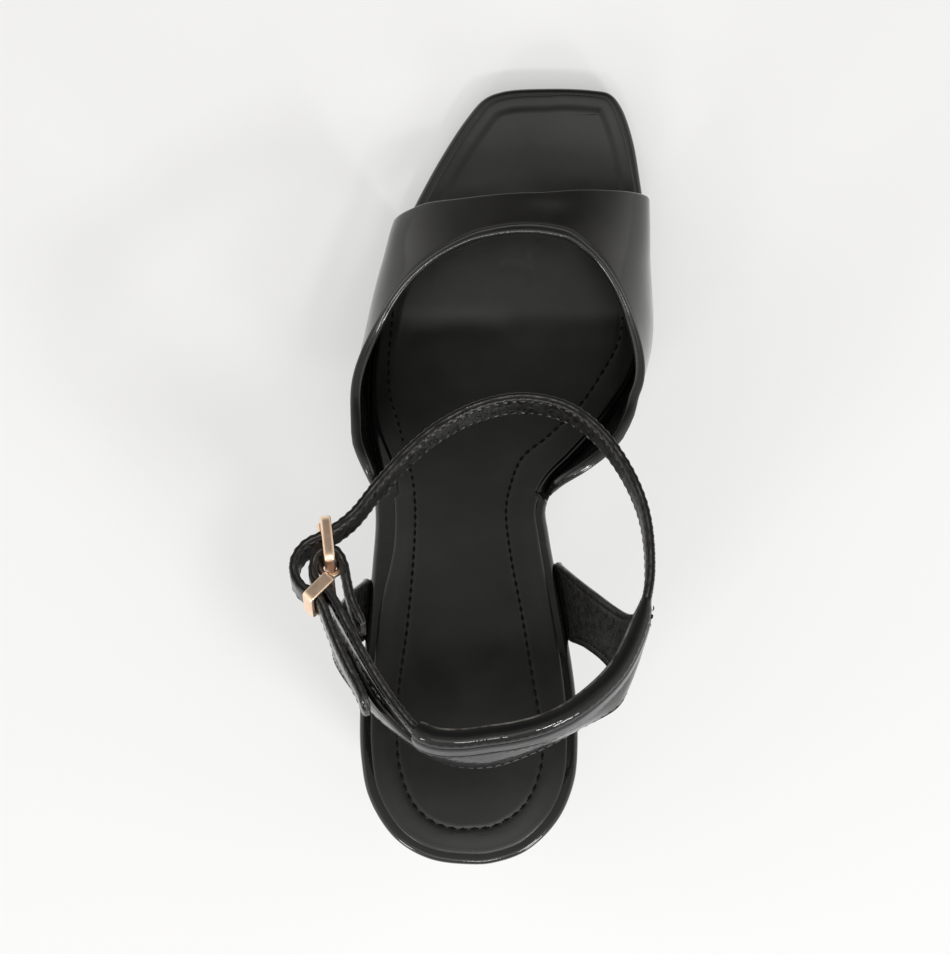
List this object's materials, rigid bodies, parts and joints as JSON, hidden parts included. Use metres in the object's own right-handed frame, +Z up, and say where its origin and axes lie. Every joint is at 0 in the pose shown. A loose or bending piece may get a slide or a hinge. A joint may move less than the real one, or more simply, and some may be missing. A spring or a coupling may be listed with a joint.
{
  "type": "high heel sandal",
  "caption": "Left high heel sandal: square open toe, wide vamp, tall block heel, heel sling and buckled ankle strap.",
  "frame": {"origin": "middle of the shoe's bounding box, on the floor", "axes": "+Z up, +Y from heel to toe, +X towards the big toe side"},
  "size_m": [0.1016, 0.2206, 0.1522],
  "materials": {
    "outsole": "matt black",
    "board_edge": "black patent",
    "sock": "semi-gloss charcoal",
    "heel": "black patent",
    "top_piece": "matt black",
    "vamp": "semi-gloss black",
    "strap": "black patent",
    "metal": "polished rose gold"
  },
  "bodies": {
    "root": {"outsole": "outsole", "insole_board": "board_edge", "sock_lining": "sock", "heel_block": "heel", "heel_top_piece": "top_piece", "vamp": "vamp", "ankle_strap": "strap", "buckle_frame": "metal", "buckle_prong": "metal", "strap_keeper": "metal"}
  },
  "joints": []
}
